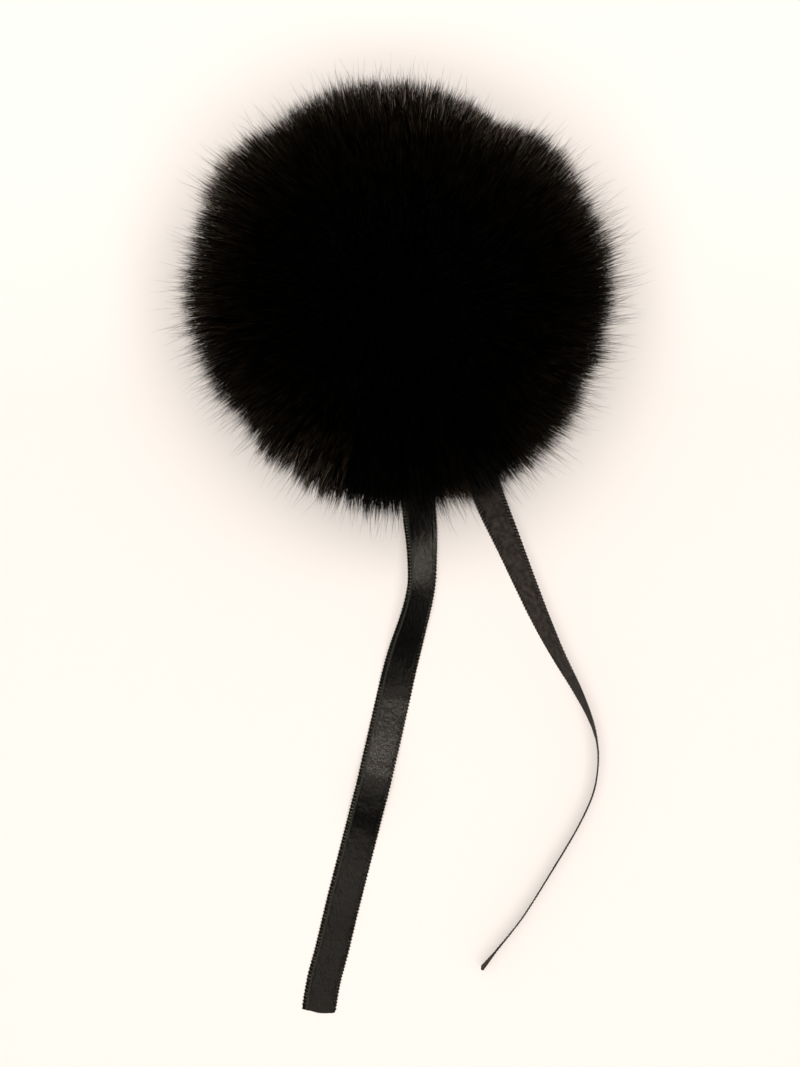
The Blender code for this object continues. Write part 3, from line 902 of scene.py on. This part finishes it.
def kept_off(lines, stations, ribbon, rng):
    """Which hairs stay, with their points lifted off the surface and off the tails."""
    count, stops = lines.shape[:2]
    least = rng.uniform(*LEAST_HEIGHT, (count, 1)) * MM
    short = np.maximum(least - lines[:, :, 2], 0.0)
    shift = rng.normal(0.0, FOOT_SHIFT * MM, (count, 1, 2))
    outwards = unit(lines[:, :, :2] - BALL_CENTRE[:2] + shift)
    lines[:, :, :2] += outwards * (FOOT_SPREAD * short)[:, :, None]
    lines[:, :, 2] = np.maximum(lines[:, :, 2], least)
    tree = KDTree(len(stations))
    for index, station in enumerate(stations):
        tree.insert(station.centre, index)
    tree.balance()
    beside = 0.5 * ribbon.width + TAIL_SIDE * MM
    gap = 0.5 * ribbon.thickness + TAIL_GAP * MM
    stays = np.ones(count, bool)
    near = (lines[:, -1, 2] < TAIL_HIGH * MM) & (lines[:, -1, 1] < TAIL_FRONT * MM)
    for number in np.flatnonzero(near):
        above = None
        for stop in range(stops):
            point = Vector(lines[number, stop])
            _, index, distance = tree.find(point)
            if distance > TAIL_FAR * MM:
                continue
            station = stations[index]
            offset = point - station.centre
            height = offset.dot(station.normal)
            if above is None:
                above = height > 0.0
            if (abs(offset.dot(station.across)) > beside
                    or abs(offset.dot(station.along)) > TAIL_ALONG * MM):
                continue
            wanted = gap + rng.uniform(0.0, UNEVEN_GAP) * MM
            if above and height < wanted:
                lines[number, stop] += np.array(station.normal) * (wanted - height)
            elif not above and height > -gap:
                stays[number] = False
        if lines[number, :, 2].min() < CLEAR * MM:
            stays[number] = False
    return stays


def hair_lines(kind, roots, aims, reach, fur, rng):
    """Each hair's points: from the pelt outwards, leaning more and more to its tip."""
    along = np.array([stop.along for stop in kind.stops])
    lean = along[None, :, None] ** LEAN_POWER
    ways = unit(roots[:, None, :] * (1.0 - lean) + aims[:, None, :] * lean)
    start = fur.backing_radius - ROOT_DEPTH * MM
    far = start + (reach[:, None] - start) * along[None, :]
    lines = BALL_CENTRE + ways * far[:, :, None]
    round_it, up = sideways(aims)
    turn = rng.uniform(0.0, 2.0 * math.pi, (len(aims), 1, 1))
    bend = rng.normal(0.0, kind.curl * MM, (len(aims), 1, 1))
    wave = np.sin(along[None, :, None] * CURL_TURN + turn) - np.sin(turn)
    lines += (round_it[:, None, :] * np.cos(turn) + up[:, None, :] * np.sin(turn)) * wave * bend
    if kind.sag:
        level = 1.0 - aims[:, 2:3] ** 2
        lines[:, :, 2] -= along ** 3 * level * rng.uniform(0, kind.sag * MM, (len(aims), 1))
    return lines


def napped(directions, fur, rng):
    """Where the tips point above roots that point this way: swept, drooping and uneven."""
    round_it, up = sideways(directions)
    rim = np.sqrt(1.0 - directions[:, 2] ** 2)
    reach = dense_reach(directions)
    steepness = (reach - fur.backing_radius) / (LEAN_POWER * reach)
    lean = np.radians(by_bearing(LEAN, bearings(directions)))
    sweep = np.tan(lean) * steepness * rim ** 2
    sweep = sweep + two_waves(directions, rng, DRIFT, 1.1, 0.4)
    rise = two_waves(directions, rng, DRIFT, 1.0, 0.4) - fur.droop * rim
    sweep = sweep + two_waves(directions, rng, PARTING, 0.13, 0.07)
    rise = rise + two_waves(directions, rng, PARTING, 0.13, 0.07)
    return unit(directions + round_it * sweep[:, None] + up * rise[:, None])


def in_locks(aims, share):
    """The tips drawn together into narrow locks round the ball, where the tufts close."""
    bearing = np.arctan2(aims[:, 1], aims[:, 0])
    drawn = share * by_bearing(TUFTING, np.degrees(bearing) % 360.0) / LOCKS_AT
    turn = sum(-part / count * np.sin(count * bearing + count) for count, part in LOCKS) * drawn
    across, ahead = np.cos(turn), np.sin(turn)
    return np.stack((aims[:, 0] * across - aims[:, 1] * ahead,
                     aims[:, 0] * ahead + aims[:, 1] * across, aims[:, 2]), axis=1)


def painted_sheen_luck(aims, rng):
    """A number for each hair, high where its painted sheen and glow show: seldom, and not on the
    crown.
    """
    turn = bearings(aims)
    luck_and_sheen = rng.uniform(0.0, 1.0, len(aims)) * by_bearing(SHEEN_BY_BEARING, turn)
    for low, high in OVER_TAILS:
        luck_and_sheen[(turn > low) & (turn < high)] = 0.0
    return luck_and_sheen * (1.0 - aims[:, 2] ** 2) ** RIM_POWER


def grown(kind, roots, aims, reach, width, fur, tails, ribbon, rng):
    """Which hairs of a kind stay, and each one's points, widths, way across and luck."""
    lines = hair_lines(kind, roots, aims, reach, fur, rng)
    stays = kept_off(lines, tails, ribbon, rng)
    thick = np.array([stop.thick for stop in kind.stops])
    widths = width * thick[None, :] * rng.uniform(*kind.widths, (len(aims), 1))
    luck_and_sheen = painted_sheen_luck(aims, rng)
    return stays, (lines, widths, unit(rng.normal(size=(len(aims), 3))), luck_and_sheen)


def make_coat(fur, tails, ribbon):
    """The dense fur, in tufts of tapered hairs: one piece for each quarter of the ball."""
    rng = np.random.default_rng(SEED)
    spacing = math.sqrt(4.0 * math.pi / fur.tufts)
    centres = spread_directions(fur.tufts)
    centres = unit(centres + rng.normal(0.0, TUFT_SHIFT * spacing, centres.shape))
    tips = napped(centres, fur, rng)
    closing = by_bearing(TUFTING, bearings(centres)) + rng.normal(0.0, UNEVEN_TUFTING, fur.tufts)
    closing = np.clip(closing, 0.0, MOST_TUFTING)
    ragged = RAGGED * closing ** 2 * (LONGER - np.abs(rng.normal(size=fur.tufts)))
    tuft_reach = 1.0 + ragged + rng.normal(0.0, UNEVEN_REACH, fur.tufts)
    tuft_reach = tuft_reach + UNEVEN_REACH * waves(tips, rng, 0.25)

    total = fur.tufts * fur.hairs_in_a_tuft
    owner = np.repeat(np.arange(fur.tufts), fur.hairs_in_a_tuft)
    round_it, up = sideways(centres)
    out = np.sqrt(rng.uniform(0.0, 1.0, total)) * spacing * TUFT_RADIUS
    turn = rng.uniform(0.0, 2.0 * math.pi, total)
    shift = (round_it[owner] * (out * np.cos(turn))[:, None]
             + up[owner] * (out * np.sin(turn))[:, None])
    roots = unit(centres[owner] + shift)
    loose = (1.0 - closing[owner])[:, None]
    stray = rng.normal(0.0, COAT.stray * fur.ruffle, (total, 3)) * loose
    aims = in_locks(unit(tips[owner] + shift * loose + stray), COAT.locks)
    reach = dense_reach(aims) * tuft_reach[owner] * quantile(COAT_REACH, rng.uniform(0, 1, total))
    stays, hairs = grown(COAT, roots, aims, reach, fur.hair_width, fur, tails, ribbon, rng)
    material = fur_material("black_fur", fur, 0.46, 0.032)
    quarter = (bearings(centres) // 90.0).astype(int)
    for number, name in enumerate(QUARTERS):
        mine = (quarter[owner] == number) & stays
        piece = rod_mesh(f"fur_coat_{name}", *(values[mine] for values in hairs), pointed=True)
        piece.data.materials.append(material)
        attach(piece, BODY)
        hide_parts("fur_ball")


def make_guard_hair(fur, tails, ribbon):
    """The long thin hairs that stand past the dense fur all round."""
    rng = np.random.default_rng(SEED + 1)
    roots = spread_directions(fur.guard_hairs)
    roots = unit(roots + rng.normal(0.0, ROOT_SHIFT, roots.shape))
    stray = rng.normal(0.0, GUARD.stray * fur.ruffle, roots.shape)
    aims = in_locks(unit(napped(roots, fur, rng) + stray), GUARD.locks)
    reach = dense_reach(aims) * quantile(GUARD_REACH, rng.uniform(0, 1, len(roots)))
    reach = reach * by_bearing(GUARD_LENGTH, bearings(aims))
    stays, hairs = grown(GUARD, roots, aims, reach, fur.guard_width, fur, tails, ribbon, rng)
    piece = rod_mesh("guard_hair", *(values[stays] for values in hairs), pointed=True)
    piece.data.materials.append(fur_material("black_guard_hair", fur, 0.40, 0.035))
    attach(piece, BODY)


# ---- surface, lights, camera

def make_floor(studio):
    """The pale surface, with softly rounded corners far outside the picture."""
    floor = added("pale_floor", bpy.ops.mesh.primitive_plane_add, size=studio.floor_size)
    bpy.ops.object.mode_set(mode="EDIT")
    bpy.ops.mesh.select_all(action="SELECT")
    bpy.ops.mesh.bevel(offset=0.1 * studio.floor_size, segments=6, affect="VERTICES")
    bpy.ops.object.mode_set(mode="OBJECT")
    floor.data.materials.append(floor_material(studio.floor_colour))


def make_lights(studio):
    """A wide soft light overhead in two halves, three soft boxes for gloss, and the room."""
    for box in BOXES:
        lamp = added(box.name, bpy.ops.object.light_add, type="AREA", location=box.place)
        lamp.data.shape = "RECTANGLE"
        lamp.data.size = box.wide
        lamp.data.size_y = box.deep
        lamp.data.energy = box.share * getattr(studio, box.power)
        lamp.rotation_euler = (AIM - Vector(box.place)).to_track_quat("-Z", "Y").to_euler()
        if box.glossy:
            lamp.data.color = studio.gloss_colour
        lamp.visible_glossy = box.glossy
        lamp.visible_diffuse = not box.glossy
    world = bpy.data.worlds.new("room")
    bpy.context.scene.world = world
    world.use_nodes = True
    light = world.node_tree.nodes["Background"]
    light.inputs["Color"].default_value = (1.0, 1.0, 1.0, 1.0)
    light.inputs["Strength"].default_value = studio.ambient
    world.cycles_visibility.glossy = False


def light_tails(satin, thin):
    """Two gloss boxes that reach the satin alone, and light that no tail blocks."""
    seen = bpy.data.collections.new("seen by the side and top gloss boxes")
    seen.objects.link(satin)
    past = bpy.data.collections.new("let through by the gloss box and half of the fill")
    for piece in thin:
        past.objects.link(piece)
    for entry in past.collection_objects:
        entry.light_linking.link_state = "EXCLUDE"
    for name, kind, pieces in (("side_gloss_box", "receiver_collection", seen),
                               ("top_gloss_box", "receiver_collection", seen),
                               ("gloss_box", "blocker_collection", past),
                               ("overhead_fill_past_tails", "blocker_collection", past)):
        lamp = bpy.data.objects.get(name)
        if lamp:
            setattr(lamp.light_linking, kind, pieces)


def make_camera():
    """The camera, straight above and looking down, with +Y up in the picture."""
    camera = added("photo_camera", bpy.ops.object.camera_add, location=CAMERA_PLACE,
                   rotation=(0.0, 0.0, 0.0))
    camera.data.sensor_width = SENSOR
    camera.data.sensor_fit = "AUTO"
    camera.data.lens = SENSOR * CAMERA_PLACE.z / SEEN_HEIGHT
    bpy.context.scene.camera = camera
    bpy.context.scene.view_settings.view_transform = "Standard"


# ---- operators and panel

class POMPOM_OT_stage(bpy.types.Operator):
    """Make the pale surface, the soft lights and the camera"""

    bl_idname = "pompom.stage"
    bl_label = "Set the stage"

    def execute(self, context):
        make_floor(context.scene.pompom_studio)
        make_lights(context.scene.pompom_studio)
        make_camera()
        return {"FINISHED"}


class POMPOM_OT_tails(bpy.types.Operator):
    """Lay the two ribbon tails, with their woven edges and edge stitches"""

    bl_idname = "pompom.tails"
    bl_label = "Lay the ribbon tails"

    def execute(self, context):
        ribbon = context.scene.pompom_ribbon
        tails = []
        for side, rows, glossy_up, seed in (("left", LEFT_TAIL, True, 31),
                                            ("right", RIGHT_TAIL, False, 37)):
            piece, stations = make_ribbon(f"satin_tail_{side}", f"ribbon_{side}", rows, ribbon,
                                          glossy_up, seed)
            tails.append(piece)
            tails.append(make_edge_stitches(f"edge_stitches_{side}", stations, ribbon, glossy_up,
                                            seed + 1))
        light_tails(tails[0], tails)
        return {"FINISHED"}


class POMPOM_OT_pelt(bpy.types.Operator):
    """Make the gathered pelt that the fur grows from"""

    bl_idname = "pompom.pelt"
    bl_label = "Make the pelt"

    def execute(self, context):
        make_pelt(context.scene.pompom_fur)
        return {"FINISHED"}


def grow(make_hair, scene):
    """Make one kind of hair, parted over both tails."""
    ribbon = scene.pompom_ribbon
    tails = tail_stations(LEFT_TAIL, ribbon) + tail_stations(RIGHT_TAIL, ribbon)
    make_hair(scene.pompom_fur, tails, ribbon)
    return {"FINISHED"}


class POMPOM_OT_coat(bpy.types.Operator):
    """Grow the dense fur in tufts of tapered hairs"""

    bl_idname = "pompom.coat"
    bl_label = "Grow the coat"

    def execute(self, context):
        return grow(make_coat, context.scene)


class POMPOM_OT_guard_hair(bpy.types.Operator):
    """Grow the long thin hairs that stand past the dense fur"""

    bl_idname = "pompom.guard_hair"
    bl_label = "Grow the guard hair"

    def execute(self, context):
        return grow(make_guard_hair, context.scene)


class POMPOM_PT_panel(bpy.types.Panel):
    """The pom pom's pieces and sizes"""

    bl_idname = "POMPOM_PT_panel"
    bl_label = "Fur pom pom"
    bl_space_type = "VIEW_3D"
    bl_region_type = "UI"
    bl_category = "Pom pom"

    def draw(self, context):
        for settings, operators in (
                (context.scene.pompom_studio, (POMPOM_OT_stage,)),
                (context.scene.pompom_ribbon, (POMPOM_OT_tails,)),
                (context.scene.pompom_fur, (POMPOM_OT_pelt, POMPOM_OT_coat,
                                            POMPOM_OT_guard_hair))):
            box = self.layout.box()
            for key in settings.__annotations__:
                box.prop(settings, key)
            for operator in operators:
                box.operator(operator.bl_idname)


CLASSES = (FurSettings, RibbonSettings, StudioSettings, POMPOM_OT_stage, POMPOM_OT_tails,
           POMPOM_OT_pelt, POMPOM_OT_coat, POMPOM_OT_guard_hair, POMPOM_PT_panel)


def register():
    """Make the settings, operators and panel known to Blender."""
    for kind in CLASSES:
        bpy.utils.register_class(kind)
    bpy.types.Scene.pompom_fur = PointerProperty(type=FurSettings)
    bpy.types.Scene.pompom_ribbon = PointerProperty(type=RibbonSettings)
    bpy.types.Scene.pompom_studio = PointerProperty(type=StudioSettings)


def unregister():
    """Take them away again."""
    del bpy.types.Scene.pompom_studio
    del bpy.types.Scene.pompom_ribbon
    del bpy.types.Scene.pompom_fur
    for kind in reversed(CLASSES):
        bpy.utils.unregister_class(kind)


def main():
    """Make the whole picture."""
    register()
    bpy.ops.pompom.stage()
    bpy.ops.pompom.tails()
    bpy.ops.pompom.pelt()
    bpy.ops.pompom.coat()
    bpy.ops.pompom.guard_hair()


if __name__ == "__main__":
    main()
